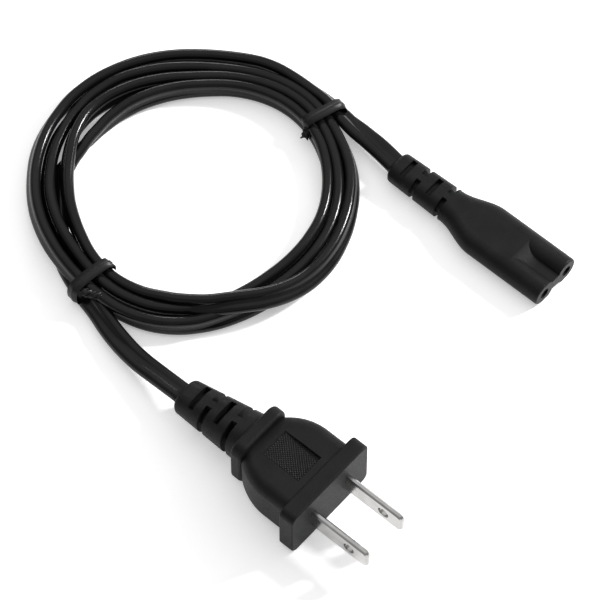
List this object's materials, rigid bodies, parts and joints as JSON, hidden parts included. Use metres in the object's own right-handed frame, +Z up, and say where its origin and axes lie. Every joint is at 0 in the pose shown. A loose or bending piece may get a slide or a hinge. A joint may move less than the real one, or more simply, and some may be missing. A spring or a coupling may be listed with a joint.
{
  "type": "power cord",
  "caption": "Power cord coiled for storage: a flat lead between a flanged two-blade mains plug and a slim two-pin appliance connector, with twist ties.",
  "frame": {"origin": "middle of the joint outline of the plug and the connector, on the surface that the cord lies on", "axes": "+X is the way both ends point, parallel to the plug's blades and the connector's sockets; +Y runs from the plug towards the connector; +Z is up from the surface"},
  "size_m": [0.145, 0.1066, 0.0168],
  "materials": {
    "plug_pvc": "fine-textured soft black PVC moulding, matte",
    "connector_pvc": "fine-textured soft black PVC moulding, matte with a soft sheen",
    "cord_pvc": "extruded black PVC skin, satin, with narrow highlights along its two lobes",
    "core_skin": "extruded black PVC skin inside the mouldings",
    "hard_insert": "hard black plastic insert that holds the contacts",
    "blade_nickel": "bright nickel-plated brass strip, faint rolling lines",
    "contact_brass": "bare spring brass",
    "copper_strand": "bare bunched copper strand",
    "tie_plastic": "black plastic-covered wire tie, satin"
  },
  "bodies": {
    "root": {"plug_body": "plug_pvc", "plug_bridge": "hard_insert", "plug_blade_left": "blade_nickel", "plug_blade_right": "blade_nickel", "plug_lead_left": "core_skin", "plug_lead_right": "core_skin", "plug_strand_left": "copper_strand", "plug_strand_right": "copper_strand", "connector_body": "connector_pvc", "connector_insert": "hard_insert", "contact_sleeve_left": "contact_brass", "contact_sleeve_right": "contact_brass", "connector_lead_left": "core_skin", "connector_lead_right": "core_skin", "connector_strand_left": "copper_strand", "connector_strand_right": "copper_strand", "cord_coil": "cord_pvc", "cord_plug_tail": "cord_pvc", "cord_connector_tail": "cord_pvc", "tie_plug_side": "tie_plastic", "tie_connector_side": "tie_plastic"}
  },
  "joints": []
}
